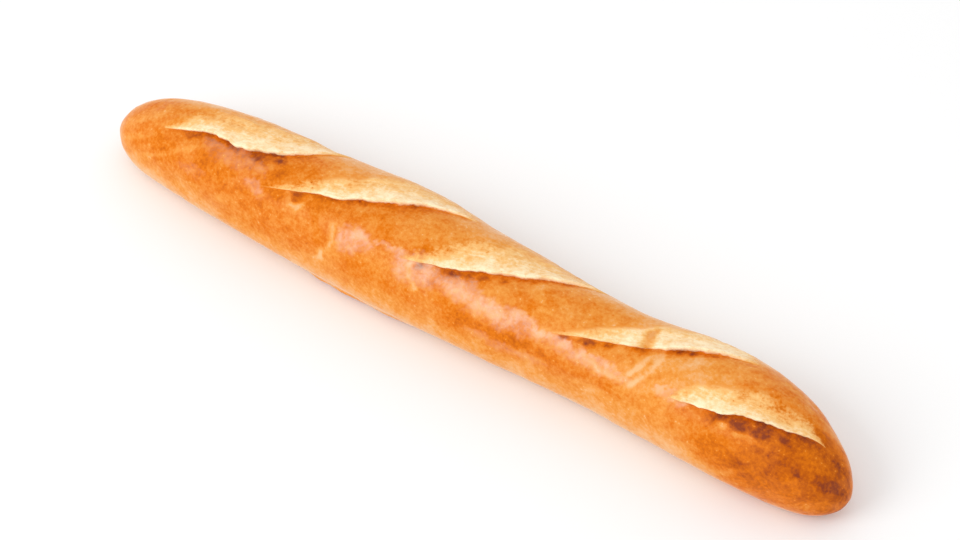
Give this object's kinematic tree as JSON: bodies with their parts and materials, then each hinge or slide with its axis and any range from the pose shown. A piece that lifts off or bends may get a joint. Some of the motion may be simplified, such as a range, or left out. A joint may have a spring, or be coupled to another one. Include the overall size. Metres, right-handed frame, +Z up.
{
  "type": "baguette",
  "caption": "Short, plump wheat baguette with rounded ends, a flat sole and slanting scores that gape into pale crumb under lifted crust lips.",
  "frame": {"origin": "on the flat sole, under the middle of the loaf's box", "axes": "+X along the loaf, +Y across it towards the far ends of the scores, +Z up out of the crown"},
  "size_m": [0.46, 0.0686, 0.0556],
  "materials": {
    "crust": "satin"
  },
  "bodies": {
    "root": {"loaf": "crust"}
  },
  "joints": []
}
